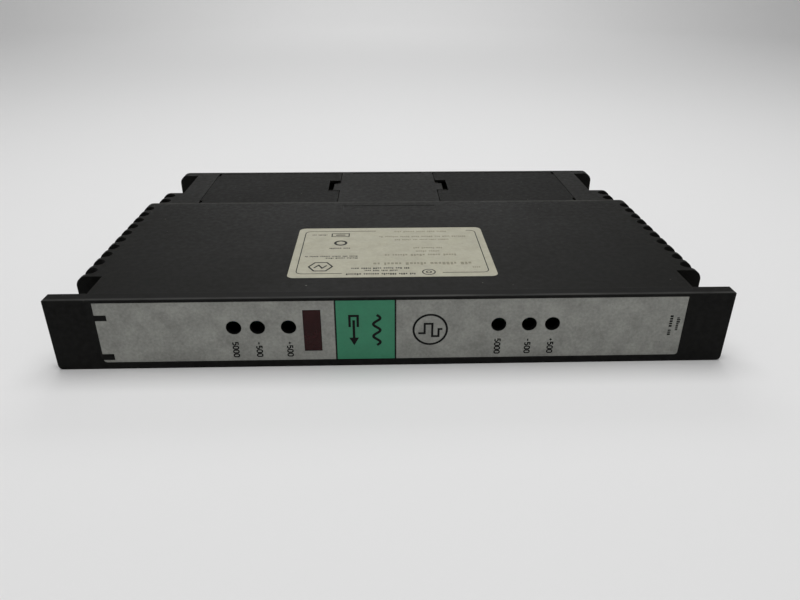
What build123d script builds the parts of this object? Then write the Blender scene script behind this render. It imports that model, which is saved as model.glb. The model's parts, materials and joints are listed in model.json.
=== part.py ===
from build123d import *
import os

os.makedirs("parts", exist_ok=True)

# ------------------------------------------------------------------ driving dimensions, mm
# X runs along the front panel, Y from the front panel to the rear, Z is the module's thickness.
# Y is counted from the front face here; save() moves the origin under the middle of the module.
LENGTH = 266.7          # front panel
HEIGHT = 30.5
DEPTH = 175.0
WALL = 2.2
SPLIT = HEIGHT / 2      # joint between the two case halves
FIT = 0.1               # gap between pieces that slip together
THROUGH = 1.0           # how far a cutter runs past the face it opens

# front panel
PANEL_T = 6.0
PANEL_R = 2.0           # its two lower corners
PANEL_SKIN = 3.0        # thickness of the panel in front of its rear pocket
LABEL_X = 115.0
LABEL_Z = (3.0, 29.2)
LABEL_T = 0.2
LABEL_SEAT = 0.3        # depth of the seat that holds the label and the green strip
LABEL_R = 1.3           # its two lower corners
GREEN_X = (-22.6, 0.2)
TICKS_Z = ((4.0, 6.8), (21.5, 24.0))
TICK_LENGTH = 4.5
WINDOW_X = (-35.5, -28.5)
WINDOW_Z = (7.0, 25.3)

# trimmers
TRIMMER_X = (-62.5, -53.3, -41.2, 41.2, 53.3, 62.5)
SLOT_ANGLES = (15, -40, 70, -20, 50, 5)
TRIMMER_Z = 17.9
HOLE_R = 3.0
SCREW_R = 1.1
SCREW_HEAD_R = 1.6
SCREW_RUN = 0.06        # radial running clearance
HOUSING_Y = (13.0, 32.0)
CHAMBER_Y = (15.0, 30.0)
WIPER_Y = (21.6, 24.6)

# case, as (front, rear, half width of the closed core, step in from the top and bottom faces)
REAR_STEP = 0.6
NECK_END = 22.1         # front of the first fin
MAIN_END = 115.2
MID_END = 134.8
NECK_HALF = 118.5
END_HALF = 114.5
SECTIONS = (
    (PANEL_T, NECK_END, NECK_HALF, 0.0),
    (NECK_END, MAIN_END, 122.5, 0.0),
    (MAIN_END, MID_END, 118.0, REAR_STEP),
    (MID_END, DEPTH, END_HALF, REAR_STEP),
)
FIN_PITCH = 8.74
FIN_T = 2.6
FIN_HALF = 129.6
MID_FIN_HALF = 126.0
SLOT_ROWS = (           # (front of the first slot, number of slots, half width between their inner ends)
    (NECK_END + FIN_T, 10, 122.5),
    (118.1, 2, 118.0),
)
FIN_R = 4.5
END_WALL_T = 6.5
VENT_WIDTH = 3.4
VENT_MARGIN = 5.0

# rear of the case
COVER_X = (28.0, 102.2)
COVER_Y = (116.8, 172.6)
COVER_T = 1.2
COVER_SINK = 0.15
COVER_LEDGE = 1.6
COVER_SLIT = (1.2, 4.6)
LATCH_X = 31.2
LATCH_Y = (138.0, 150.0)
LATCH_NOTCH = (34.2, 157.2)
COVER_GAP = 0.5         # open joint along the front and inner edges of each cover
STRIP_HALF = 24.0       # shallow recess in front of the bridge
STRIP_Y = (99.5, 108.8)
GROOVE_HALF = 21.0      # groove along the bridge's rear edge
GROOVE_Y = (DEPTH - 3.4, DEPTH - 2.2)
SOCKET_X = (31.0, 100.0)
SOCKET_Z = (5.0, 23.0)
SHROUD_FRONT = 150.0
SHROUD_T = 1.4

LED_Z = (9.0, 21.0)

# nameplate
PLATE_X = 43.4
PLATE_Y = (18.5, 75.2)
PLATE_R = 3.0
PLATE_T = 0.25

# circuit board
BOARD_Z = (12.0, 13.6)
BOARD_X = 111.5
BOARD_Y = (13.5, 149.8)
TONGUE_X = (34.0, 97.0)
TONGUE_END = 171.0
PAD_PITCH = 3.96
BOSSES = ((-106, 38), (106, 38), (-106, 104), (106, 104), (-18, 144), (18, 144))


# ------------------------------------------------------------------ helpers
def block(x, y, z):
    """Rectangular block from three (low, high) pairs."""
    size = Box(x[1] - x[0], y[1] - y[0], z[1] - z[0], align=(Align.MIN, Align.MIN, Align.MIN))
    return Pos(x[0], y[0], z[0]) * size


def post(x, y, radius, z):
    """Upright round post between two heights."""
    return Pos(x, y, z[0]) * Cylinder(radius, z[1] - z[0], align=(Align.CENTER, Align.CENTER, Align.MIN))


def rod(x, z, radius, y):
    """Round rod along Y."""
    shape = Cylinder(radius, y[1] - y[0], align=(Align.CENTER, Align.CENTER, Align.MIN))
    return Pos(x, y[0], z) * Rot(-90, 0, 0) * shape


def slab(half_width, y, z, radius):
    """Plate across the module with its four long edges rounded."""
    profile = RectangleRounded(2 * half_width, z[1] - z[0], radius)
    return Pos(0, y[0], (z[0] + z[1]) / 2) * Rot(-90, 0, 0) * extrude(profile, y[1] - y[0])


def mirrored(x):
    """The same span on the other side of the middle."""
    return (-x[1], -x[0])


def both_sides(x):
    return (x, mirrored(x))


def group(solids):
    """Separate solids kept in one node."""
    return Compound(children=list(solids))


def save(name, shape):
    export_step(Pos(0, -DEPTH / 2, 0) * shape, f"parts/{name}.step")


# ------------------------------------------------------------------ case
def slots():
    """Gaps between the fins, as (front, rear, half width at the slot's inner end)."""
    for front, count, inner in SLOT_ROWS:
        for n in range(count):
            y = front + n * FIN_PITCH
            yield y, y + FIN_PITCH - FIN_T, inner


def slot_cutters():
    """Round-ended slots, cut right through the thickness from both long edges."""
    cutters = []
    z = (-THROUGH, HEIGHT + THROUGH)
    for y0, y1, inner in slots():
        radius = (y1 - y0) / 2
        for side in (-1, 1):
            x = sorted((side * (inner + radius), side * LENGTH / 2))
            cutters.append(block(x, (y0, y1), z) + post(side * (inner + radius), (y0 + y1) / 2, radius, z))
    return cutters


def case_body():
    """Outer form: the stepped case with finned long edges and the rear end wall."""
    rear_z = (REAR_STEP, HEIGHT - REAR_STEP)
    body = block((-NECK_HALF, NECK_HALF), (PANEL_T, NECK_END), (0, HEIGHT))
    body += slab(FIN_HALF, (NECK_END, MAIN_END), (0, HEIGHT), FIN_R)
    body += slab(MID_FIN_HALF, (MAIN_END, MID_END), rear_z, FIN_R)
    body += block((-END_HALF, END_HALF), (MID_END, DEPTH), rear_z)
    body += slab(MID_FIN_HALF - 0.5, (DEPTH - END_WALL_T, DEPTH), rear_z, FIN_R)
    return body - slot_cutters()


def case_cavity():
    """Hollow of the case: every section moved in by the wall, and open to the front."""
    hollow = []
    last = len(SECTIONS) - 1
    for n, (y0, y1, half, step) in enumerate(SECTIONS):
        if n > 0:
            y0 += WALL if half > SECTIONS[n - 1][2] else -WALL
        if n == last:
            y1 -= WALL
        else:
            y1 += WALL if SECTIONS[n + 1][2] > half else -WALL
        hollow.append(block((WALL - half, half - WALL), (y0, y1), (step + WALL, HEIGHT - step - WALL)))
    return hollow


def vents():
    """Air slots through the side walls, one between each two fins."""
    cutters = []
    for y0, y1, inner in slots():
        middle = (y0 + y1) / 2
        span = (middle - VENT_WIDTH / 2, middle + VENT_WIDTH / 2)
        for x in both_sides((inner - WALL - THROUGH, inner + THROUGH)):
            cutters.append(block(x, span, (VENT_MARGIN, HEIGHT - VENT_MARGIN)))
    return cutters


def rear_sockets():
    """Openings in the rear wall for the rack's two edge connectors."""
    return [block(x, (DEPTH - 2 * WALL, DEPTH + THROUGH), SOCKET_Z) for x in both_sides(SOCKET_X)]


def case_shell():
    return case_body() - case_cavity() - vents() - rear_sockets()


def snap_spans():
    """X spans of the front panel's snap tabs."""
    return [(x - 6, x + 6) for x in (-100, -12, 30, 100)]


def snap_pockets():
    """Shallow pockets inside the top and bottom walls that catch the tabs' barbs."""
    cutters = []
    for x0, x1 in snap_spans():
        span = (x0 - FIT, x1 + FIT)
        cutters.append(block(span, (9.0, 11.4), (WALL - 0.8, WALL + FIT)))
        cutters.append(block(span, (9.0, 11.4), (HEIGHT - WALL - FIT, HEIGHT - WALL + 0.8)))
    return cutters


def latch_ears():
    """Ears on the bridge between the rear covers, which hold the covers' inner edges down."""
    top = HEIGHT - REAR_STEP
    inner = COVER_X[0] - COVER_GAP - THROUGH
    return [block(x, LATCH_Y, (top - WALL, top)) for x in both_sides((inner, LATCH_X))]


def cover_openings():
    """Seats for the two rear covers, with a ledge all round under each cover."""
    top = HEIGHT - REAR_STEP
    seat_z = (top - COVER_SINK - COVER_T, top + THROUGH)
    seat_y = (COVER_Y[0] - COVER_GAP, COVER_Y[1] + FIT)
    hole_y = (COVER_Y[0] + COVER_LEDGE, COVER_Y[1] - COVER_LEDGE)
    seats = [block(x, seat_y, seat_z) for x in both_sides((COVER_X[0] - COVER_GAP, COVER_X[1] + FIT))]
    hole_x = (COVER_X[0] + COVER_LEDGE, COVER_X[1] - COVER_LEDGE)
    return seats + [block(x, hole_y, (top - WALL - THROUGH, top)) for x in both_sides(hole_x)]


def upper_cover():
    """Upper half of the case: seats for the nameplate and rear covers, and six screw bosses."""
    half = case_shell() & block((-LENGTH, LENGTH), (0, DEPTH), (SPLIT, HEIGHT))
    half = half - cover_openings() + latch_ears() - snap_pockets()
    plate = RectangleRounded(2 * PLATE_X + 2 * FIT, PLATE_Y[1] - PLATE_Y[0] + 2 * FIT, PLATE_R)
    half -= Pos(0, sum(PLATE_Y) / 2, HEIGHT - PLATE_T - 0.05) * extrude(plate, THROUGH)
    half -= block((-STRIP_HALF, STRIP_HALF), STRIP_Y, (HEIGHT - 0.12, HEIGHT + THROUGH))
    half -= block((-GROOVE_HALF, GROOVE_HALF), GROOVE_Y, (HEIGHT - REAR_STEP - 0.5, HEIGHT))
    bosses = [post(x, y, 3.6, (BOARD_Z[1], HEIGHT - WALL)) for x, y in BOSSES]
    pilots = [post(x, y, 1.5, (BOARD_Z[1] - THROUGH, 23.5)) for x, y in BOSSES]
    return half + bosses - pilots


def lower_cover():
    """Lower half of the case, with the posts that carry the board."""
    half = case_shell() & block((-LENGTH, LENGTH), (0, DEPTH), (0, SPLIT))
    half -= snap_pockets()
    posts = [post(x, y, 4.6, (WALL / 2, BOARD_Z[0])) for x, y in BOSSES]
    holes = [post(x, y, 1.8, (0, BOARD_Z[0] + THROUGH)) for x, y in BOSSES]
    sinks = [post(x, y, 3.1, (-THROUGH, 4.4)) for x, y in BOSSES]
    return half + posts - holes - sinks


def rear_cover(side):
    """Snap-in cover over one rear connector, notched round the latch ear."""
    top = HEIGHT - REAR_STEP - COVER_SINK
    low = top - COVER_T
    plate = block(COVER_X, COVER_Y, (low, top))
    plate -= block((COVER_X[0] - THROUGH, LATCH_NOTCH[0]), (LATCH_Y[0] - FIT, LATCH_NOTCH[1]), (low, top))
    width, length = COVER_SLIT
    for y in (COVER_Y[0], COVER_Y[1] - length):
        plate -= block((COVER_X[1] - width, COVER_X[1]), (y, y + length), (low, top))
    ledge = COVER_LEDGE + FIT
    for y0, y1, barb in ((COVER_Y[0] + ledge, COVER_Y[0] + ledge + 1.2, -0.6),
                         (COVER_Y[1] - ledge - 1.2, COVER_Y[1] - ledge, 0.6)):
        for x in (48.0, 84.0):
            foot = block((x - 4, x + 4), (y0, y1), (low - 3.2, low))
            hook = block((x - 4, x + 4), (min(y0, y0 + barb), max(y1, y1 + barb)), (low - 3.2, low - 1.2))
            plate += foot + hook
    return plate if side > 0 else mirror(plate, Plane.YZ)


def nameplate():
    outline = RectangleRounded(2 * PLATE_X, PLATE_Y[1] - PLATE_Y[0], PLATE_R)
    return Pos(0, sum(PLATE_Y) / 2, HEIGHT - PLATE_T - 0.05) * extrude(outline, PLATE_T)


def case_screws():
    """Cross-recessed screws that clamp both case halves and the board from below."""
    screws = []
    for x, y in BOSSES:
        screw = post(x, y, 2.8, (2.0, 4.4)) + post(x, y, 1.45, (4.4, 22.0))
        cross = block((x - 1.5, x + 1.5), (y - 0.3, y + 0.3), (1.9, 3.4))
        cross += block((x - 0.3, x + 0.3), (y - 1.5, y + 1.5), (1.9, 3.4))
        screws.append(screw - cross)
    return group(screws)


def connector_shroud():
    """Guide box round the right-hand tongue, closed to the inside but for the board's slot."""
    x = (SOCKET_X[0] - SHROUD_T, SOCKET_X[1] + SHROUD_T)
    box = block(x, (SHROUD_FRONT, DEPTH - WALL - FIT), (REAR_STEP + WALL, SOCKET_Z[1] + SHROUD_T))
    box -= block(SOCKET_X, (SHROUD_FRONT + SHROUD_T, DEPTH), SOCKET_Z)
    tongue_x = (TONGUE_X[0] - FIT, TONGUE_X[1] + FIT)
    return box - block(tongue_x, (SHROUD_FRONT - THROUGH, DEPTH), (BOARD_Z[0] - FIT, BOARD_Z[1] + FIT))


# ------------------------------------------------------------------ front panel
def front_bezel():
    """Moulded front panel with its pulling ears, label seat, window, access holes and snap tabs."""
    panel = block((-LENGTH / 2, LENGTH / 2), (0, PANEL_T), (0, HEIGHT))
    panel = fillet(panel.edges().filter_by(Axis.Y).group_by(Axis.Z)[0], PANEL_R)
    seat_z = (LABEL_Z[0] - 0.2, LABEL_Z[1] + 0.2)
    panel -= block((-LABEL_X - 0.2, LABEL_X + 0.2), (-THROUGH, LABEL_SEAT), seat_z)
    panel -= block((-116.0, 116.0), (PANEL_SKIN, PANEL_T + THROUGH), (WALL, HEIGHT - WALL))
    panel -= block(WINDOW_X, (-THROUGH, PANEL_T), WINDOW_Z)
    panel -= [rod(x, TRIMMER_Z, HOLE_R, (-THROUGH, PANEL_T)) for x in TRIMMER_X]
    for x in snap_spans():
        for floor, out in ((WALL + FIT, -1), (HEIGHT - WALL - FIT, 1)):
            tab_z = sorted((floor, floor - out * 1.4))
            barb_z = sorted((floor, floor + out * 0.7))
            panel += block(x, (PANEL_SKIN, 11.2), tab_z)
            panel += block(x, (9.2, 11.2), barb_z)
    return panel


def front_label():
    """Silver overlay, open for the access holes, the window, the green strip and two end ticks."""
    sheet = block((-LABEL_X, LABEL_X), (LABEL_SEAT - LABEL_T, LABEL_SEAT), LABEL_Z)
    sheet = fillet(sheet.edges().filter_by(Axis.Y).group_by(Axis.Z)[0], LABEL_R)
    sheet -= [rod(x, TRIMMER_Z, HOLE_R, (-THROUGH, PANEL_T)) for x in TRIMMER_X]
    sheet -= block(WINDOW_X, (-THROUGH, PANEL_T), WINDOW_Z)
    sheet -= block((GREEN_X[0] - 0.35, GREEN_X[1] + 0.35), (-THROUGH, PANEL_T), (0, HEIGHT))
    for z in TICKS_Z:
        sheet -= block((-LABEL_X - THROUGH, TICK_LENGTH - LABEL_X), (-THROUGH, PANEL_T), z)
    return group(sheet.solids())


def function_label():
    return block(GREEN_X, (LABEL_SEAT - LABEL_T, LABEL_SEAT), LABEL_Z)


def display_window():
    """Red lens, a push fit from behind with a flange inside the panel."""
    x = (WINDOW_X[0] + FIT / 2, WINDOW_X[1] - FIT / 2)
    z = (WINDOW_Z[0] + FIT / 2, WINDOW_Z[1] - FIT / 2)
    face = block(x, (0.2, PANEL_SKIN), z)
    flange = block((x[0] - 1.2, x[1] + 1.2), (PANEL_SKIN, PANEL_SKIN + 1.0), (z[0] - 0.8, z[1] + 0.8))
    return fillet(face.edges().group_by(Axis.Y)[0], 0.3) + flange


# ------------------------------------------------------------------ trimmers
def trimmer_housing(x):
    """Closed housing: a front bearing, the wiper's chamber and a rear bearing for the screw."""
    body = block((x - 3.2, x + 3.2), HOUSING_Y, (BOARD_Z[1], 22.0))
    chamber = block((x - 2.4, x + 2.4), CHAMBER_Y, (BOARD_Z[1] + 1.2, 21.0))
    bore = rod(x, TRIMMER_Z, SCREW_R + SCREW_RUN, (HOUSING_Y[0] - THROUGH, CHAMBER_Y[1] + 1.0))
    return body - chamber - bore


def trimmer_screw(x, angle):
    """Adjusting screw with a slotted head outside the housing and a collar inside it."""
    screw = rod(x, TRIMMER_Z, SCREW_R, (9.5, CHAMBER_Y[1] + 0.8))
    screw += rod(x, TRIMMER_Z, SCREW_HEAD_R, (9.5, HOUSING_Y[0] - 0.4))
    screw += rod(x, TRIMMER_Z, SCREW_HEAD_R, (CHAMBER_Y[0] + 0.3, CHAMBER_Y[0] + 1.1))
    slot = Box(4.0, 2.0, 0.6)
    return screw - Pos(x, 9.5, TRIMMER_Z) * Rot(0, angle, 0) * slot


def trimmer_wiper(x):
    """Wiper carriage that the screw drives along the housing."""
    carriage = block((x - 2.1, x + 2.1), WIPER_Y, (BOARD_Z[1] + 1.5, 20.6))
    return carriage - rod(x, TRIMMER_Z, SCREW_R + SCREW_RUN, WIPER_Y)


# ------------------------------------------------------------------ board and its parts
def circuit_board():
    """Board with two edge-connector tongues at the rear and holes for the case screws."""
    board = block((-BOARD_X, BOARD_X), BOARD_Y, BOARD_Z)
    board += [block(x, (BOARD_Y[1], TONGUE_END), BOARD_Z) for x in both_sides(TONGUE_X)]
    return board - [post(x, y, 1.7, (0, HEIGHT)) for x, y in BOSSES]


def gold_fingers(side):
    """Contact pads on both faces of one tongue."""
    count = int((TONGUE_X[1] - TONGUE_X[0]) / PAD_PITCH)
    start = sum(TONGUE_X) / 2 - (count - 1) * PAD_PITCH / 2
    pads = []
    for n in range(count):
        x = side * (start + n * PAD_PITCH)
        for z in ((BOARD_Z[1], BOARD_Z[1] + 0.1), (BOARD_Z[0] - 0.1, BOARD_Z[0])):
            pads.append(block((x - 1.2, x + 1.2), (TONGUE_END - 9.5, TONGUE_END - 0.5), z))
    return group(pads)


def on_board(x, y, height, lift=0.0):
    """Block of given X and Y spans standing on the board."""
    return block(x, y, (BOARD_Z[1] + lift, BOARD_Z[1] + lift + height))


def chip_bodies(places, size):
    """Chip packages at (x, y) centres; size is (X, Y, height)."""
    chips = []
    for x, y in places:
        span_x = (x - size[0] / 2, x + size[0] / 2)
        span_y = (y - size[1] / 2, y + size[1] / 2)
        body = on_board(span_x, span_y, size[2], lift=0.6)
        notch = post(x, span_y[0], 0.9, (BOARD_Z[1] + size[2], HEIGHT))
        chips.append(body - notch)
    return chips


def chip_pins(places, size):
    """Legs down both long sides of the chips, at 2.54 mm."""
    pins = []
    per_side = int(size[1] / 2.54)
    for x, y in places:
        for n in range(per_side):
            y_pin = y + (n - (per_side - 1) / 2) * 2.54
            for edge in (x - size[0] / 2 - 0.5, x + size[0] / 2):
                pins.append(on_board((edge, edge + 0.5), (y_pin - 0.25, y_pin + 0.25), 2.2))
    return pins


CONVERTER_SIZE = (6.4, 20.3, 3.4)
CONVERTER_PLACES = [(x, 49) for x in (-86, -66, -46, 46, 66, 86)]
COUPLER_SIZE = (6.4, 7.9, 3.4)
COUPLER_PLACES = [(x, 74) for x in (-91, -65, -39, 39, 65, 91)]
CONTROLLER_SIZE = (13.7, 51.0, 3.8)
CONTROLLER_PLACES = [(0, 112)]
RESISTOR_X = (50, 58, 66, 74, 82, 90)
RESISTOR_PLACES = [(side * x, y) for side in (-1, 1) for x in RESISTOR_X for y in (114, 126, 138)]
CAPACITOR_PLACES = [(side * x, 92) for side in (-1, 1) for x in (26, 40, 54)]
FILM_PLACES = [(side * x, 92) for side in (-1, 1) for x in (68, 76, 84, 92)]


def all_chip_pins():
    return group(chip_pins(CONVERTER_PLACES, CONVERTER_SIZE) + chip_pins(COUPLER_PLACES, COUPLER_SIZE)
                 + chip_pins(CONTROLLER_PLACES, CONTROLLER_SIZE))


def resistors():
    """Axial resistors: a body on two bent leads."""
    parts = []
    for x, y in RESISTOR_PLACES:
        z = BOARD_Z[1] + 1.6
        part = rod(x, z, 1.2, (y - 3.2, y + 3.2)) + rod(x, z, 0.3, (y - 5, y + 5))
        part += post(x, y - 5, 0.3, (BOARD_Z[1], z + 0.3)) + post(x, y + 5, 0.3, (BOARD_Z[1], z + 0.3))
        parts.append(part)
    return group(parts)


def electrolytic_capacitors():
    cans = []
    for x, y in CAPACITOR_PLACES:
        can = post(x, y, 5.0, (BOARD_Z[1], BOARD_Z[1] + 12.5))
        cans.append(fillet(can.edges().group_by(Axis.Z)[-1], 0.8))
    return group(cans)


def film_capacitors():
    boxes = [on_board((x - 1.5, x + 1.5), (y - 4, y + 4), 7.0) for x, y in FILM_PLACES]
    return group(boxes)


def transformer_core():
    """Laminated core of the isolating supply: two outer legs and a centre leg."""
    core = on_board((-17, 17), (40, 66), 12.0)
    for x in both_sides((5, 13)):
        core -= on_board(x, (44, 62), 13.0, lift=-0.5)
    return core


def transformer_winding():
    """Copper winding on a bobbin round the core's centre leg."""
    outer = on_board((-12.6, 12.6), (44.4, 61.6), 11.0, lift=0.5)
    return outer - on_board((-5.2, 5.2), (40, 66), 13.0)


def voltage_regulators():
    """Upright three-leg regulators against the heat sink."""
    parts = []
    for x in (-10, 10):
        body = on_board((x - 5, x + 5), (80.4, 84.8), 9.0, lift=3.0)
        for leg in (-2.54, 0, 2.54):
            body += on_board((x + leg - 0.4, x + leg + 0.4), (82, 82.5), 3.2)
        parts.append(body)
    return group(parts)


def heat_sink():
    """Finned aluminium heat sink behind the regulators."""
    sink = on_board((-20, 20), (78.4, 80.4), 12.5)
    fins = (-20, -14.3, -8.6, -2.9, 2.8, 8.5, 14.2, 18.6)
    return sink + [on_board((x, x + 1.4), (71, 78.4), 12.5) for x in fins]


def led_holder():
    """Light block behind the window, standing on the board's front edge."""
    middle = sum(WINDOW_X) / 2
    body = block((middle - 4.2, middle + 4.2), (5.0, 11.4), (5.6, 26.4))
    foot = block((middle - 4.2, middle + 4.2), (11.4, 15.0), (BOARD_Z[1], BOARD_Z[1] + 1.6))
    return body + foot - [rod(middle, z, 2.6, (4.0, 12.0)) for z in LED_Z]


def status_leds():
    """Round indicator lamps with bent leads, one above and one below the board."""
    middle = sum(WINDOW_X) / 2
    leds = []
    for z, face in zip(LED_Z, BOARD_Z):
        led = rod(middle, z, 2.5, (8.0, 12.4)) + Pos(middle, 8.0, z) * Sphere(2.5)
        led += rod(middle, z, 2.8, (11.5, 12.4))
        for x in (middle - 1.5, middle + 1.0):
            led += block((x, x + 0.5), (12.4, 17.0), (z - 0.25, z + 0.25))
            led += block((x, x + 0.5), (16.5, 17.0), sorted((z, face)))
        leds.append(led)
    return group(leds)


def range_headers():
    """Pin headers for the output-range jumpers."""
    return group(on_board((x - 3.8, x + 3.8), (26.0, 31.0), 2.5) for x in (-12, 0, 12))


def header_pins():
    pins = []
    for x in (-12, 0, 12):
        for dx in (-2.54, 0, 2.54):
            for y in (27.2, 29.8):
                pins.append(on_board((x + dx - 0.3, x + dx + 0.3), (y - 0.3, y + 0.3), 6.0, lift=2.5))
    return group(pins)


def range_jumpers():
    """Push-on shunts over pairs of header pins."""
    caps = []
    for x in (-12, 0, 12):
        cap = on_board((x - 3.7, x + 1.2), (26.0, 28.4), 5.8, lift=2.6)
        for dx in (-2.54, 0):
            cap -= on_board((x + dx - 0.35, x + dx + 0.35), (26.85, 27.55), 6.1, lift=2.4)
        caps.append(cap)
    return group(caps)


def crystal():
    can = on_board((-38, -27), (104, 109), 3.8, lift=0.4)
    return fillet(can.edges().filter_by(Axis.Z), 2.2)


def fuse():
    """Glass fuse between its end caps."""
    return rod(28.0, BOARD_Z[1] + 4.0, 2.5, (106.0, 124.0))


def fuse_clips():
    clips = []
    for y in (103.0, 121.2):
        clip = on_board((24.2, 31.8), (y, y + 5.8), 6.5)
        clips.append(clip - rod(28.0, BOARD_Z[1] + 4.0, 2.6, (104.4, 125.6))
                     - on_board((26.2, 29.8), (y - 1, y + 7), 4.0, lift=4.0))
    return group(clips)


# ------------------------------------------------------------------ write every sub-part
save("upper_cover", upper_cover())
save("lower_cover", lower_cover())
save("right_rear_cover", rear_cover(1))
save("left_rear_cover", rear_cover(-1))
save("right_connector_shroud", connector_shroud())
save("left_connector_shroud", mirror(connector_shroud(), Plane.YZ))
save("nameplate", nameplate())
save("case_screws", case_screws())
save("front_bezel", front_bezel())
save("front_label", front_label())
save("function_label", function_label())
save("display_window", display_window())
for number, (x, angle) in enumerate(zip(TRIMMER_X, SLOT_ANGLES), start=1):
    save(f"trimmer_housing_{number}", trimmer_housing(x))
    save(f"trimmer_screw_{number}", trimmer_screw(x, angle))
    save(f"trimmer_wiper_{number}", trimmer_wiper(x))
save("circuit_board", circuit_board())
save("right_gold_fingers", gold_fingers(1))
save("left_gold_fingers", gold_fingers(-1))
save("converter_chips", group(chip_bodies(CONVERTER_PLACES, CONVERTER_SIZE)))
save("optocouplers", group(chip_bodies(COUPLER_PLACES, COUPLER_SIZE)))
save("controller_chip", group(chip_bodies(CONTROLLER_PLACES, CONTROLLER_SIZE)))
save("chip_pins", all_chip_pins())
save("resistors", resistors())
save("electrolytic_capacitors", electrolytic_capacitors())
save("film_capacitors", film_capacitors())
save("transformer_core", transformer_core())
save("transformer_winding", transformer_winding())
save("voltage_regulators", voltage_regulators())
save("heat_sink", heat_sink())
save("led_holder", led_holder())
save("status_leds", status_leds())
save("range_headers", range_headers())
save("header_pins", header_pins())
save("range_jumpers", range_jumpers())
save("crystal", crystal())
save("fuse", fuse())
save("fuse_clips", fuse_clips())
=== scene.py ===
import json
import math
import random

import bmesh
import bpy
from mathutils import Matrix, Vector


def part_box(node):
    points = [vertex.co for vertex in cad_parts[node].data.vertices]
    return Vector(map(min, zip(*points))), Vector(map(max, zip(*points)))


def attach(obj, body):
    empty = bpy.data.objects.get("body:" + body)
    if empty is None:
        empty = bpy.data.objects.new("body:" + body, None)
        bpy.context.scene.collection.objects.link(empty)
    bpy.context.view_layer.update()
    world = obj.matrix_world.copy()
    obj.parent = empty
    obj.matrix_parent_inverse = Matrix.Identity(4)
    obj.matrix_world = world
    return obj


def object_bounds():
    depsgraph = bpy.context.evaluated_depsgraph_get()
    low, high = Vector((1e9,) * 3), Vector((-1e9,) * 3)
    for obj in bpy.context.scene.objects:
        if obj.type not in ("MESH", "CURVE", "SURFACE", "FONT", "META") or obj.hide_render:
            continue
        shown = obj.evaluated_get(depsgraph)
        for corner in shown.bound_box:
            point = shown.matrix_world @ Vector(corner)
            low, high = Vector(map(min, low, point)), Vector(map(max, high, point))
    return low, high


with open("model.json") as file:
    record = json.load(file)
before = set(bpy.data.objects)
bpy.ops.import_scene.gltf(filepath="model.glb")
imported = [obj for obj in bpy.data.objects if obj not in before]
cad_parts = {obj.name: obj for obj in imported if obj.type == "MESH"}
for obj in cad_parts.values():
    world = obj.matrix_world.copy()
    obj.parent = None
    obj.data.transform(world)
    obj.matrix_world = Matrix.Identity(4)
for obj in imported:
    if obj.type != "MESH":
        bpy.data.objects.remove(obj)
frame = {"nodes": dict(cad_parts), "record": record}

MM = 0.001
CAD_LOW, CAD_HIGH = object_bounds()
random.seed(7)


# ------------------------------------------------------------------ camera and light
# A close view down over the front panel, almost square to it.
CAMERA_AT = (-0.00526, -0.31438, 0.14386)
CAMERA_YAW = 1.896      # degrees to the right of the Y axis
CAMERA_PITCH = -26.79   # degrees above level
CAMERA_ROLL = 0.18      # degrees
CAMERA_LENS = 29.8      # mm, on a sensor 36 mm wide

WORLD_STRENGTH = 0.15
OVERHEAD_AT, OVERHEAD_SIZE, OVERHEAD_POWER = (0.0, 0.0, 1.0), (0.9, 0.9), 9.3
# This one lights the floor behind the module and gives the upper faces their sheen.
REAR_AT, REAR_SIZE, REAR_POWER = (0.0, 1.5, 1.0), (1.2, 0.8), 7.2


def make_camera():
    data = bpy.data.cameras.new("camera")
    data.lens = CAMERA_LENS
    data.sensor_width = 36.0
    data.clip_start = 0.01
    data.clip_end = 50.0
    camera = bpy.data.objects.new("camera", data)
    bpy.context.scene.collection.objects.link(camera)
    turn = Matrix.Rotation(math.radians(-CAMERA_YAW), 4, "Z")
    tilt = Matrix.Rotation(math.radians(90 + CAMERA_PITCH), 4, "X")
    roll = Matrix.Rotation(math.radians(CAMERA_ROLL), 4, "Z")
    camera.matrix_world = Matrix.Translation(CAMERA_AT) @ turn @ tilt @ roll
    bpy.context.scene.camera = camera


def hang_light(name, at, size, power):
    """White rectangular light that shines straight down."""
    data = bpy.data.lights.new(name, "AREA")
    data.shape = "RECTANGLE"
    data.size, data.size_y = size
    data.energy = power
    light = bpy.data.objects.new(name, data)
    bpy.context.scene.collection.objects.link(light)
    light.location = at


def make_world(strength):
    world = bpy.data.worlds.new("studio")
    world.use_nodes = True
    background = world.node_tree.nodes["Background"]
    background.inputs["Color"].default_value = (1.0, 1.0, 1.0, 1)
    background.inputs["Strength"].default_value = strength
    bpy.context.scene.world = world


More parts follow.
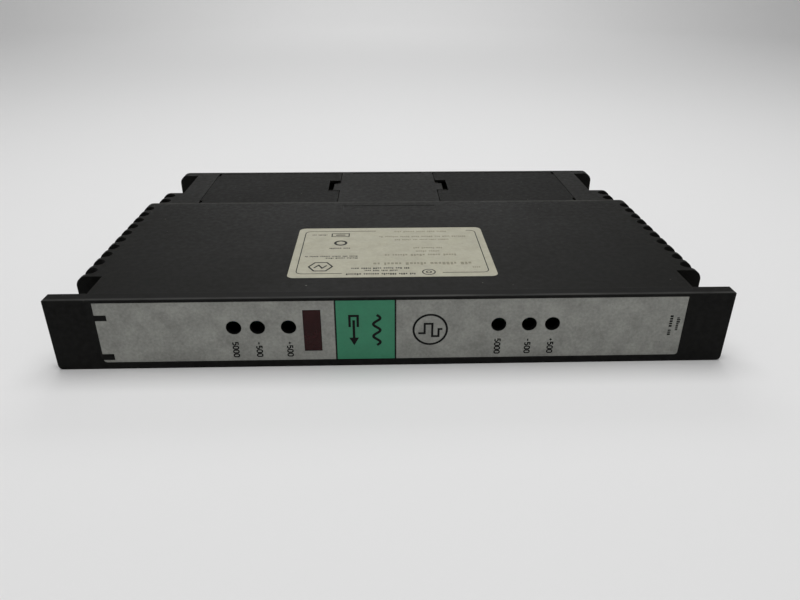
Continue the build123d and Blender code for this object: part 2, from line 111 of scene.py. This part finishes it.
# ------------------------------------------------------------------ materials
class Shader:
    """One material: a Principled shader and the texture nodes that feed it, placed in the frame's metres."""

    def __init__(self, name, **constants):
        self.material = bpy.data.materials.new(name)
        self.material.use_nodes = True
        self.tree = self.material.node_tree
        self.bsdf = self.tree.nodes["Principled BSDF"]
        for socket, value in constants.items():
            self.bsdf.inputs[socket.replace("_", " ")].default_value = value
        self.place = self.tree.nodes.new("ShaderNodeTexCoord").outputs["Object"]

    def link(self, out, into):
        self.tree.links.new(out, into)

    def feed(self, socket, out):
        self.link(out, self.bsdf.inputs[socket])

    def stretched(self, scale):
        """Place in the frame, stretched by a factor along each axis."""
        node = self.tree.nodes.new("ShaderNodeMapping")
        node.inputs["Scale"].default_value = scale
        self.link(self.place, node.inputs["Vector"])
        return node.outputs["Vector"]

    def noise(self, size, detail=3.0, roughness=0.5, at=None):
        """Noise with blotches of about that size in metres."""
        node = self.tree.nodes.new("ShaderNodeTexNoise")
        node.inputs["Scale"].default_value = 1 / size
        node.inputs["Detail"].default_value = detail
        node.inputs["Roughness"].default_value = roughness
        self.link(at or self.place, node.inputs["Vector"])
        return node.outputs["Fac"]

    def cells(self, size):
        """Distance to the middle of the nearest cell, in cell sizes."""
        node = self.tree.nodes.new("ShaderNodeTexVoronoi")
        node.inputs["Scale"].default_value = 1 / size
        self.link(self.place, node.inputs["Vector"])
        return node.outputs["Distance"]

    def remap(self, value, low, high, to_low=0.0, to_high=1.0):
        """Value between low and high, moved to the same share of the way between to_low and to_high."""
        node = self.tree.nodes.new("ShaderNodeMapRange")
        node.inputs["From Min"].default_value = low
        node.inputs["From Max"].default_value = high
        node.inputs["To Min"].default_value = to_low
        node.inputs["To Max"].default_value = to_high
        self.link(value, node.inputs["Value"])
        return node.outputs["Result"]

    def math(self, operation, a, b=0.0):
        node = self.tree.nodes.new("ShaderNodeMath")
        node.operation = operation
        for socket, value in zip(node.inputs, (a, b)):
            if isinstance(value, (int, float)):
                socket.default_value = value
            else:
                self.link(value, socket)
        return node.outputs["Value"]

    def mix(self, amount, a, b):
        """Colour a where amount is 0 and colour b where it is 1."""
        node = self.tree.nodes.new("ShaderNodeMix")
        node.data_type = "RGBA"
        self.link(amount, node.inputs["Factor"])
        for socket, value in zip((node.inputs[6], node.inputs[7]), (a, b)):
            if isinstance(value, tuple):
                socket.default_value = (*value, 1)
            else:
                self.link(value, socket)
        return node.outputs[2]

    def edges(self, width):
        """1 on edges and corners within that distance, 0 on flat faces."""
        rounded = self.tree.nodes.new("ShaderNodeBevel")
        rounded.samples = 4
        rounded.inputs["Radius"].default_value = width
        geometry = self.tree.nodes.new("ShaderNodeNewGeometry")
        dot = self.tree.nodes.new("ShaderNodeVectorMath")
        dot.operation = "DOT_PRODUCT"
        self.link(rounded.outputs["Normal"], dot.inputs[0])
        self.link(geometry.outputs["Normal"], dot.inputs[1])
        return self.remap(dot.outputs["Value"], 0.998, 0.9)

    def band(self, axis, middle, half):
        """1 near a plane across the axis, fading to 0 at that distance on either side of it."""
        split = self.tree.nodes.new("ShaderNodeSeparateXYZ")
        self.link(self.place, split.inputs["Vector"])
        away = self.math("ABSOLUTE", self.math("SUBTRACT", split.outputs[axis], middle))
        return self.remap(away, half, 0.6 * half)

    def bump(self, height, distance, strength, over=None):
        node = self.tree.nodes.new("ShaderNodeBump")
        node.inputs["Distance"].default_value = distance
        node.inputs["Strength"].default_value = strength
        self.link(height, node.inputs["Height"])
        if over is not None:
            self.link(over, node.inputs["Normal"])
        return node.outputs["Normal"]


def shade(colour, factor):
    return tuple(min(1.0, c * factor) for c in colour)


GRAIN = 0.00035              # moulded grain, m
DUST = (0.16, 0.155, 0.14)   # colour of dust specks


def moulded_plastic(name, colour, roughness, dust, depth=0.00002, specular=0.4, wear_and_highlight=2.8, highlight_bands=()):
    """Grained moulded plastic: cloudy gloss, a few dust specks and paler edges, part wear and part painted
    highlight.

    dust is how far a speck covers the colour, depth the grain's depth in m, and wear_and_highlight how many
    times paler an edge is painted, for wear and highlight together. highlight_bands is two (axis, middle,
    half width) bands, which cross along one edge where a light line is painted paler still as a highlight.
    """
    s = Shader(name, Specular_IOR_Level=specular)
    cloud = s.noise(0.045, detail=4)
    tone = s.mix(s.remap(cloud, 0.3, 0.7), shade(colour, 0.88), shade(colour, 1.12))
    grime = s.noise(0.0025, detail=4, roughness=0.6)
    tone = s.mix(s.remap(grime, 0.35, 0.7, 0.0, 0.5), tone, shade(colour, 2.4))
    fine = s.noise(GRAIN, detail=2, roughness=0.6)
    tone = s.mix(s.math("MULTIPLY", s.remap(fine, 0.35, 0.75), 0.2), tone, shade(colour, 1.5))
    specks = s.remap(s.cells(0.005), 0.085, 0.055)
    sparse = s.remap(s.noise(0.013, detail=1), 0.58, 0.64)
    dusty = s.math("MULTIPLY", s.math("MULTIPLY", specks, sparse), dust)
    tone = s.mix(dusty, tone, DUST)
    # Edges painted paler: partly real wear, partly a painted highlight where rounded edges catch the light.
    worn = s.math("MULTIPLY", s.edges(0.0008), s.remap(s.noise(0.006), 0.35, 0.7, 0.25, 0.9))
    tone = s.mix(worn, tone, shade(colour, wear_and_highlight))
    # Painted highlight: a light line painted along one edge, standing in for the light a rounded edge
    # catches.
    if highlight_bands:
        line = s.math("MULTIPLY", *(s.band(*plane) for plane in highlight_bands))
        patchy = s.remap(s.noise(0.03), 0.4, 0.62, 0.3, 1.0)
        tone = s.mix(s.math("MULTIPLY", line, patchy), tone, shade(colour, 2 * wear_and_highlight))
    s.feed("Base Color", tone)
    gloss = s.remap(cloud, 0.3, 0.7, roughness - 0.04, roughness + 0.04)
    gloss = s.math("ADD", gloss, s.remap(grime, 0.3, 0.7, -0.08, 0.08))
    s.feed("Roughness", s.math("ADD", gloss, s.math("MULTIPLY", dusty, 0.3)))
    s.feed("Normal", s.bump(fine, depth, 0.8))
    return s.material


def printed_film(name, colour, mottle, roughness, metallic=0.0):
    """Printed plastic film: colour mottled by that share, a faint orange-peel surface and a little dirt."""
    s = Shader(name, Metallic=metallic, Specular_IOR_Level=0.4)
    spots = s.math("ADD", s.noise(0.0012, detail=3, roughness=0.65), s.noise(0.006, detail=3))
    tone = s.mix(s.remap(spots, 0.7, 1.3), shade(colour, 1 - mottle), shade(colour, 1 + mottle))
    stain = s.remap(s.noise(0.022, detail=5, roughness=0.6), 0.5, 0.78, 0.0, 0.22)
    tone = s.mix(stain, tone, shade(colour, 0.62))
    dirt = s.remap(s.cells(0.0065), 0.05, 0.03, 0.0, 0.45)
    tone = s.mix(s.math("MULTIPLY", dirt, s.remap(s.noise(0.02), 0.5, 0.6)), tone, shade(colour, 0.35))
    s.feed("Base Color", tone)
    s.feed("Roughness", s.remap(s.noise(0.008, detail=4), 0.3, 0.7, roughness - 0.07, roughness + 0.08))
    s.feed("Normal", s.bump(s.noise(0.0008, detail=2), 0.00001, 0.6))
    return s.material


def printed_ink(name, colour):
    """Screen-printed ink: slightly uneven, with pinholes."""
    s = Shader(name, Specular_IOR_Level=0.1)
    uneven = s.noise(0.0005, detail=3)
    s.feed("Base Color", s.mix(s.remap(uneven, 0.55, 0.85), colour, shade(colour, 2.0)))
    s.feed("Roughness", s.remap(uneven, 0.3, 0.7, 0.4, 0.6))
    s.feed("Normal", s.bump(uneven, 0.000006, 0.5))
    return s.material


def red_lens():
    """Dark red tinted lens with a faint moulded ripple."""
    s = Shader("red_lens", Specular_IOR_Level=0.02, Transmission_Weight=0.3)
    depth = s.noise(0.006, detail=2)
    s.feed("Base Color", s.mix(s.remap(depth, 0.3, 0.7), (0.029, 0.0018, 0.002), (0.043, 0.004, 0.0045)))
    s.feed("Roughness", s.remap(s.noise(0.004, detail=4), 0.3, 0.7, 0.16, 0.3))
    s.feed("Normal", s.bump(s.noise(0.003, detail=1), 0.00002, 0.4))
    return s.material


def metal(name, colour, roughness, brushed=(1.0, 1.0, 1.0), metallic=1.0):
    """Worked metal: tool marks stretched along one axis, tarnish and brighter edges."""
    s = Shader(name, Metallic=metallic)
    marks = s.noise(0.0005, detail=3, at=s.stretched(brushed))
    tarnish = s.remap(s.noise(0.004, detail=4), 0.45, 0.75, 0.0, 0.6)
    tone = s.mix(tarnish, colour, shade(colour, 0.55))
    tone = s.mix(s.math("MULTIPLY", s.edges(0.0002), 0.5), tone, shade(colour, 1.3))
    s.feed("Base Color", tone)
    s.feed("Roughness", s.remap(marks, 0.3, 0.7, roughness - 0.08, roughness + 0.12))
    s.feed("Normal", s.bump(marks, 0.00001, 0.6))
    return s.material


def laminate():
    """Green solder mask over copper tracks, which show as paler raised lines."""
    s = Shader("board_laminate", Specular_IOR_Level=0.5)
    tracks = s.tree.nodes.new("ShaderNodeTexBrick")
    tracks.inputs["Scale"].default_value = 90.0
    tracks.inputs["Mortar Size"].default_value = 0.035
    tracks.inputs["Color1"].default_value = (0, 0, 0, 1)
    tracks.inputs["Color2"].default_value = (0, 0, 0, 1)
    tracks.inputs["Mortar"].default_value = (1, 1, 1, 1)
    s.link(s.place, tracks.inputs["Vector"])
    weave = s.noise(0.0006, detail=2)
    mask = s.mix(s.remap(weave, 0.3, 0.7), (0.008, 0.055, 0.022), (0.014, 0.085, 0.032))
    s.feed("Base Color", s.mix(tracks.outputs["Color"], mask, (0.04, 0.17, 0.06)))
    s.feed("Roughness", s.remap(s.noise(0.01), 0.3, 0.7, 0.28, 0.42))
    s.feed("Normal", s.bump(tracks.outputs["Color"], 0.00003, 0.7, over=s.bump(weave, 0.00001, 0.5)))
    return s.material


def winding():
    """Enamelled copper wire wound in close turns."""
    s = Shader("winding_copper", Metallic=0.7, Coat_Weight=0.4)
    turns = s.tree.nodes.new("ShaderNodeTexWave")
    turns.bands_direction = "Z"
    turns.inputs["Scale"].default_value = 500.0
    turns.inputs["Distortion"].default_value = 0.6
    s.link(s.place, turns.inputs["Vector"])
    # Copper painted dark in the grooves between turns and pale on their crests: painted shade and highlight.
    s.feed("Base Color", s.mix(turns.outputs["Fac"], (0.16, 0.045, 0.015), (0.55, 0.2, 0.07)))
    s.feed("Roughness", s.remap(s.noise(0.003), 0.3, 0.7, 0.25, 0.45))
    s.feed("Normal", s.bump(turns.outputs["Fac"], 0.0001, 0.8))
    return s.material


def fuse_glass():
    """Clear glass tube, a little uneven."""
    s = Shader("fuse_glass", Transmission_Weight=0.9, IOR=1.5)
    s.feed("Base Color", s.mix(s.noise(0.004), (0.75, 0.82, 0.82), (0.9, 0.94, 0.94)))
    s.feed("Roughness", s.remap(s.noise(0.002), 0.3, 0.7, 0.03, 0.12))
    return s.material


TOP = CAD_HIGH.z
LEDGE = 0.0016                                        # from the step to the rear covers
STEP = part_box("right_rear_cover")[0].y - LEDGE        # rear edge of the case's full height
# Bands where a light line is painted as a highlight: along the case's step edge and the front panel's upper
# rim.
STEP_HIGHLIGHT = (("Y", STEP - 0.0008, 0.0011), ("Z", TOP, 0.0005))
RIM_HIGHLIGHT = (("Y", CAD_LOW.y + 0.001, 0.0008), ("Z", TOP, 0.0003))     # upper rim of the front panel
COVER_PLASTIC = moulded_plastic("cover_plastic", (0.0062, 0.0062, 0.0056), 0.55, specular=0.05, dust=0.8,
                                wear_and_highlight=3.5)
BLACK_INK = printed_ink("black_ink", (0.006, 0.006, 0.006))
WORN_INK = printed_ink("worn_ink", (0.21, 0.2, 0.145))
SLOT_MATERIALS = {
    "case_plastic": moulded_plastic("case_plastic", (0.0062, 0.0062, 0.0055), 0.5, specular=0.066,
                                    dust=0.8, wear_and_highlight=3.2, highlight_bands=STEP_HIGHLIGHT),
    "panel_plastic": moulded_plastic("panel_plastic", (0.0095, 0.0095, 0.0091), 0.45, specular=0.03,
                                     dust=0.4, highlight_bands=RIM_HIGHLIGHT),
    "silver_overlay": printed_film("silver_overlay", (0.287, 0.29, 0.266), 0.22, 0.42, metallic=0.25),
    "green_overlay": printed_film("green_overlay", (0.033, 0.245, 0.128), 0.07, 0.4),
    "red_lens": red_lens(),
    "nameplate_foil": printed_film("nameplate_foil", (0.338, 0.325, 0.242), 0.11, 0.4),
    "screw_steel": metal("screw_steel", (0.55, 0.55, 0.56), 0.32),
    "trimmer_blue": moulded_plastic("trimmer_blue", (0.02, 0.08, 0.32), 0.35, depth=0.00001, dust=0.2),
    "brass": metal("brass", (0.72, 0.5, 0.18), 0.3, brushed=(1.0, 0.2, 1.0)),
    "white_plastic": moulded_plastic("white_plastic", (0.6, 0.6, 0.57), 0.45, depth=0.00001, dust=0.1),
    "board_laminate": laminate(),
    "gold_plate": metal("gold_plate", (0.95, 0.66, 0.24), 0.3, brushed=(1.0, 0.1, 1.0), metallic=0.6),
    "chip_plastic": moulded_plastic("chip_plastic", (0.02, 0.02, 0.021), 0.55, dust=0.3),
    "tinned_metal": metal("tinned_metal", (0.62, 0.62, 0.6), 0.35),
    "resistor_lacquer": moulded_plastic("resistor_lacquer", (0.45, 0.3, 0.14), 0.3, depth=0.00001, dust=0.2),
    "capacitor_sleeve": moulded_plastic("capacitor_sleeve", (0.02, 0.03, 0.12), 0.3, depth=0.00001, dust=0.2),
    "film_box": moulded_plastic("film_box", (0.5, 0.12, 0.04), 0.4, depth=0.00001, dust=0.2),
    "core_iron": moulded_plastic("core_iron", (0.05, 0.05, 0.052), 0.6, depth=0.00004, dust=0.2),
    "winding_copper": winding(),
    "sink_aluminium": metal("sink_aluminium", (0.09, 0.09, 0.1), 0.45, brushed=(1.0, 1.0, 0.15)),
    "jumper_plastic": moulded_plastic("jumper_plastic", (0.02, 0.04, 0.25), 0.4, depth=0.00001, dust=0.2),
    "fuse_glass": fuse_glass(),
}


EDGE_RADII = {     # mm, on the nodes whose edges are softly broken
    "upper_cover": 0.2, "lower_cover": 0.2, "front_bezel": 0.4, "left_rear_cover": 0.15,
    "right_rear_cover": 0.15, "nameplate": 0.05, "front_label": 0.03, "function_label": 0.03,
    "trimmer_screw_1": 0.08,
}
WELD_DISTANCE = 0.000002     # m
SHARP_ANGLE = 50             # degrees; flatter edges stay as they are


def finish_nodes():
    """Gives each CAD node its material, and rounds the edges of those that are named above."""
    slots = {part["node"]: part["material_slot"] for part in frame["record"]["subparts"]}
    for name, node in frame["nodes"].items():
        node.data.materials.clear()
        finish = COVER_PLASTIC if name.endswith("rear_cover") else SLOT_MATERIALS[slots[name]]
        node.data.materials.append(finish)
        if name in EDGE_RADII:
            round_edges(node, EDGE_RADII[name] * MM)


def round_edges(piece, radius):
    weld = piece.modifiers.new("weld", "WELD")
    weld.merge_threshold = WELD_DISTANCE
    bevel = piece.modifiers.new("bevel", "BEVEL")
    bevel.width = radius
    bevel.segments = 3
    bevel.limit_method = "ANGLE"
    bevel.angle_limit = math.radians(SHARP_ANGLE)
    bevel.use_clamp_overlap = True
    bevel.harden_normals = True


# ------------------------------------------------------------------ printed marks
FILM_INK = 0.03      # how far ink stands out of the front films, mm
PLATE_INK = 0.02     # how far ink stands out of the nameplate, mm
INK_ROOT = 0.02      # how far ink reaches into the film under it, mm
MITRE_LIMIT = 0.4    # lowest cosine used for a line's mitre, so that a sharp corner stays short
RING_SIDES = 40
DIGITS = {           # each sign's path, in heights of a digit, and whether it closes
    "0": ([(0.16, 0), (0.44, 0), (0.6, 0.2), (0.6, 0.8), (0.44, 1), (0.16, 1), (0, 0.8), (0, 0.2)], True),
    "1": ([(0.08, 0.76), (0.32, 1), (0.32, 0)], False),
    "5": ([(0.56, 1), (0.08, 1), (0.05, 0.56), (0.38, 0.6), (0.57, 0.42), (0.57, 0.17), (0.4, 0),
           (0.02, 0.03)], False),
    "-": ([(0.06, 0.5), (0.54, 0.5)], False),
}


class Ink:
    """Marks printed on one face, gathered into one thin mesh. place(u, v, h) gives a point in mm."""

    def __init__(self, name, material, place):
        self.name = name
        self.material = material
        self.place = place
        self.points = []
        self.faces = []

    def prism(self, outline):
        """Filled shape with the given corners, in either order."""
        turning = sum(a[0] * b[1] - b[0] * a[1] for a, b in zip(outline, outline[1:] + outline[:1]))
        if turning < 0:
            outline = outline[::-1]
        first, count = len(self.points), len(outline)
        for h in (0, 1):
            self.points += [Vector(self.place(u, v, h)) * MM for u, v in outline]
        low = list(range(first, first + count))
        high = [n + count for n in low]
        self.faces += [low[::-1], high]
        for a in range(count):
            b = (a + 1) % count
            self.faces.append([low[a], low[b], high[b], high[a]])

    def line(self, path, width, closed=False):
        """Ribbon of even width along a path, mitred at its corners."""
        left, right = [], []
        first, count = len(self.points), len(path)
        for n, (u, v) in enumerate(path):
            before = Vector(path[n - 1]) if n > 0 or closed else None
            after = Vector(path[(n + 1) % count]) if n < count - 1 or closed else None
            here = Vector((u, v))
            into = (here - before).normalized() if before is not None else (after - here).normalized()
            away = (after - here).normalized() if after is not None else into
            side = Vector((-into.y - away.y, into.x + away.x)).normalized()
            reach = width / 2 / max(MITRE_LIMIT, side.dot(Vector((-into.y, into.x))))
            left.append(here + side * reach)
            right.append(here - side * reach)
        for h in (0, 1):
            for edge in (left, right):
                self.points += [Vector(self.place(p.x, p.y, h)) * MM for p in edge]
        for a in range(count if closed else count - 1):
            b = (a + 1) % count
            la, lb, ra, rb = first + a, first + b, first + count + a, first + count + b
            up = 2 * count
            self.faces += [[la, lb, rb, ra], [ra + up, rb + up, lb + up, la + up],
                           [la + up, lb + up, lb, la], [ra, rb, rb + up, ra + up]]
        if not closed:
            for a, turn in ((0, 1), (count - 1, -1)):
                cap = [first + a, first + count + a, first + 3 * count + a, first + 2 * count + a]
                self.faces.append(cap[::turn])

    def ring(self, centre, radius, width, sides=RING_SIDES):
        """Closed line with its corners on a circle."""
        turns = [2 * math.pi * n / sides for n in range(sides)]
        self.line([(centre[0] + radius * math.cos(t), centre[1] + radius * math.sin(t)) for t in turns],
                  width, closed=True)

    def finish(self):
        """Makes the mesh and fixes it to the module."""
        mesh = bpy.data.meshes.new(self.name)
        mesh.from_pydata(self.points, [], self.faces)
        shape = bmesh.new()
        shape.from_mesh(mesh)
        bmesh.ops.recalc_face_normals(shape, faces=shape.faces)
        shape.to_mesh(mesh)
        shape.free()
        mesh.materials.append(self.material)
        piece = bpy.data.objects.new(self.name, mesh)
        bpy.context.scene.collection.objects.link(piece)
        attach(piece, "module")


def on_film(node):
    """Places marks on a front film: u along X, v up Z."""
    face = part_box(node)[0].y / MM
    return lambda u, v, h: (u, face + INK_ROOT - h * (INK_ROOT + FILM_INK), v)


def on_plate():
    """Places marks on the nameplate: u along X, v along Y from the panel's front face."""
    low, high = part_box("nameplate")
    return lambda u, v, h: (u, CAD_LOW.y / MM + v, high.z / MM - INK_ROOT + h * (INK_ROOT + PLATE_INK))


def print_number(ink, text, x, z, size, advance):
    """Number that reads downwards, with the tops of its digits towards +X. x is their feet, z the start."""
    stroke = size * 0.25
    for sign in text:
        if sign == "+":
            print_plus(ink, x + size * 0.5, z - size * 0.3, reach=size * 0.25)
        else:
            path, closed = DIGITS[sign]
            ink.line([(x + size * b, z - size * a) for a, b in path], stroke, closed)
        z -= advance


def print_plus(ink, x, z, reach):
    """Plus sign round (x, z), whose arms reach that far from it."""
    half = reach * 0.36
    quarter = [(half, reach), (half, half), (reach, half)]
    corners = []
    for turn in range(4):
        for a, b in quarter:
            for _ in range(turn):
                a, b = b, -a
            corners.append((x + a, z + b))
    ink.prism(corners)


def print_words(ink, glyph, length, height):
    """Row of small blocks in word-like groups, which stand for a line of small print.

    glyph(a, b) gives the face's (u, v) at a along the row and b up it, both in mm.
    """
    letter_gap, word_gap = height * 0.2, height * 0.55
    a = 0.0
    while a < length:
        for _ in range(random.randint(3, 7)):
            wide = height * random.uniform(0.3, 0.5)
            tall = height * random.choice((0.7, 0.7, 1.0))
            if a + wide > length:
                return
            ink.prism([glyph(a, 0), glyph(a + wide, 0), glyph(a + wide, tall), glyph(a, tall)])
            a += wide + letter_gap
        a += word_gap


LEGENDS = ("5000", "-500", "+500")       # under the three holes of each group
LEGEND_TOP, LEGEND_OFFSET = 11.4, 1.05   # z where a legend starts, and its feet to the hole's middle, mm
LEGEND_SIZE, LEGEND_ADVANCE = 2.05, 1.8  # height of a digit, and from one digit to the next, mm
EMBLEM_LINE = 0.85                       # mm


def print_front():
    """Legends under the access holes, an emblem and a small two-line mark on the silver overlay."""
    ink = Ink("front_print", BLACK_INK, on_film("front_label"))
    for number, text in enumerate(LEGENDS * 2, start=1):
        low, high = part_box(f"trimmer_screw_{number}")
        middle = (low.x + high.x) / 2 / MM
        print_number(ink, text, middle - LEGEND_OFFSET, LEGEND_TOP, LEGEND_SIZE, LEGEND_ADVANCE)
    ink.ring((14.2, 16.0), 6.6, EMBLEM_LINE)
    ink.line([(9.5, 14.4), (12.0, 14.4), (12.0, 18.6), (15.0, 18.6), (15.0, 13.0), (17.5, 13.0), (17.5, 16.2),
              (19.0, 16.2)], EMBLEM_LINE)
    low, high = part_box("function_label")
    for x in (low.x / MM - 0.5, high.x / MM + 0.5):
        ink.line([(x, low.z / MM), (x, high.z / MM)], 0.28)
    print_words(ink, lambda a, b: (109.2 + b, 21.0 - a), 9.0, 1.7)
    print_words(ink, lambda a, b: (112.0 + b, 20.0 - a), 6.0, 1.4)
    ink.finish()


def print_function():
    """A wave and an arrow leaving a box, for the green strip."""
    ink = Ink("function_print", BLACK_INK, on_film("function_label"))
    middle, swing, top, length, half_waves = -6.8, 1.35, 22.8, 13.5, 5
    ink.line([(middle + swing * math.sin(half_waves * math.pi * t), top - length * t)
              for t in (n / 60 for n in range(61))], 1.05)
    ink.line([(-14.2, 17.6), (-14.2, 22.5), (-17.4, 22.5), (-17.4, 17.6)], 0.95)
    ink.prism([(-15.3, 20.6), (-15.3, 12.8), (-13.9, 12.8), (-15.8, 9.3), (-17.7, 12.8), (-16.3, 12.8),
               (-16.3, 20.6)])
    ink.finish()


def border(side, front_gap, rear_gap):
    """Half of the nameplate's border line, from its front gap to its rear gap.

    side is -1 for the left half and 1 for the right, whose corners are rounded about these centres.
    """
    centre_u, front_v, rear_v, radius = 37.6, 25.0, 68.5, 2.5
    path = [(front_gap, front_v - radius)]
    for centre_v, start in ((front_v, -90), (rear_v, 0)):
        for step in range(7):
            t = math.radians(start + 15 * step)
            path.append((side * (centre_u + radius * math.cos(t)), centre_v + radius * math.sin(t)))
    return path + [(rear_gap, rear_v + radius)]


def print_rows(ink, rows):
    """Rows of small print on the nameplate, each (u of its start, v of its middle, length, height)."""
    for u, v, length, height in rows:
        print_words(ink, lambda a, b: (u - a, v + height / 2 - b), length, height)


def print_nameplate():
    """Border, four plain marks and rows of small print, upside down to someone in front of the panel."""
    ink = Ink("nameplate_print", BLACK_INK, on_plate())
    worn = Ink("nameplate_worn_print", WORN_INK, on_plate())
    ink.line(border(-1, -21.0, -7.0), 0.4)
    ink.line(border(1, 20.7, 36.0), 0.4)
    ink.ring((-30.4, 29.6), 5.0, 0.7, sides=6)
    ink.line([(-33.0, 28.4), (-31.2, 31.2), (-29.6, 28.0), (-27.8, 30.8)], 0.7)
    ink.ring((-23.1, 56.1), 2.5, 1.1)
    ink.line([(-27.6, 64.2), (-19.6, 64.2), (-19.6, 68.0), (-27.6, 68.0)], 0.5, closed=True)
    ink.line([(-25.8, 66.1), (-21.4, 66.1)], 0.9)
    ink.ring((15.0, 23.2), 2.6, 0.5)
    ink.ring((15.0, 23.2), 1.0, 0.5)
    print_rows(ink, (
        (-29.9, 66.3, 7.5, 1.1), (-18.7, 49.7, 9.3, 1.3), (-15.1, 40.5, 23.4, 1.2),
        (-15.0, 38.5, 14.0, 1.2), (9.3, 21.6, 29.1, 1.5), (7.0, 27.4, 24.3, 1.4), (2.0, 25.1, 13.8, 1.2)))
    print_rows(worn, (
        (33.8, 32.0, 42.0, 2.6), (28.2, 41.4, 31.6, 2.0), (21.1, 45.5, 10.6, 1.6), (22.7, 49.4, 13.3, 1.6),
        (26.6, 59.5, 25.5, 1.4), (34.9, 63.4, 40.5, 1.5), (26.3, 69.8, 25.2, 1.5), (37.0, 27.5, 3.5, 1.5)))
    ink.finish()
    worn.finish()


# ------------------------------------------------------------------ floor
def make_floor():
    """Round pale floor that curves up into a low wall all round."""
    flat, radius, top = 1.5, 0.9, 1.5
    flat_rings, curve_rings, sides = 6, 18, 96
    profile = [(flat / flat_rings * n, 0.0) for n in range(1, flat_rings + 1)]
    for step in range(1, curve_rings + 1):
        t = math.radians(90 * step / curve_rings)
        profile.append((flat + radius * math.sin(t), radius - radius * math.cos(t)))
    profile.append((flat + radius, top))
    points = [(0.0, 0.0, 0.0)]
    for reach, z in profile:
        for n in range(sides):
            t = 2 * math.pi * n / sides
            points.append((reach * math.cos(t), reach * math.sin(t), z))
    faces = [(0, 1 + n, 1 + (n + 1) % sides) for n in range(sides)]
    for row in range(len(profile) - 1):
        for n in range(sides):
            a, b = 1 + row * sides + n, 1 + row * sides + (n + 1) % sides
            faces.append((a, a + sides, b + sides, b))
    mesh = bpy.data.meshes.new("floor")
    mesh.from_pydata(points, [], faces)
    mesh.polygons.foreach_set("use_smooth", [True] * len(mesh.polygons))
    floor = bpy.data.objects.new("floor", mesh)
    bpy.context.scene.collection.objects.link(floor)
    s = Shader("pale_floor", Roughness=0.75, Specular_IOR_Level=0.1)
    s.feed("Base Color", s.mix(s.noise(0.4), (0.785, 0.785, 0.785), (0.8, 0.8, 0.8)))
    mesh.materials.append(s.material)
    floor.location.z = CAD_LOW.z


make_camera()
make_world(WORLD_STRENGTH)
hang_light("overhead", OVERHEAD_AT, OVERHEAD_SIZE, OVERHEAD_POWER)
hang_light("rear", REAR_AT, REAR_SIZE, REAR_POWER)
bpy.context.scene.view_settings.view_transform = "Standard"
make_floor()
finish_nodes()
print_front()
print_function()
print_nameplate()
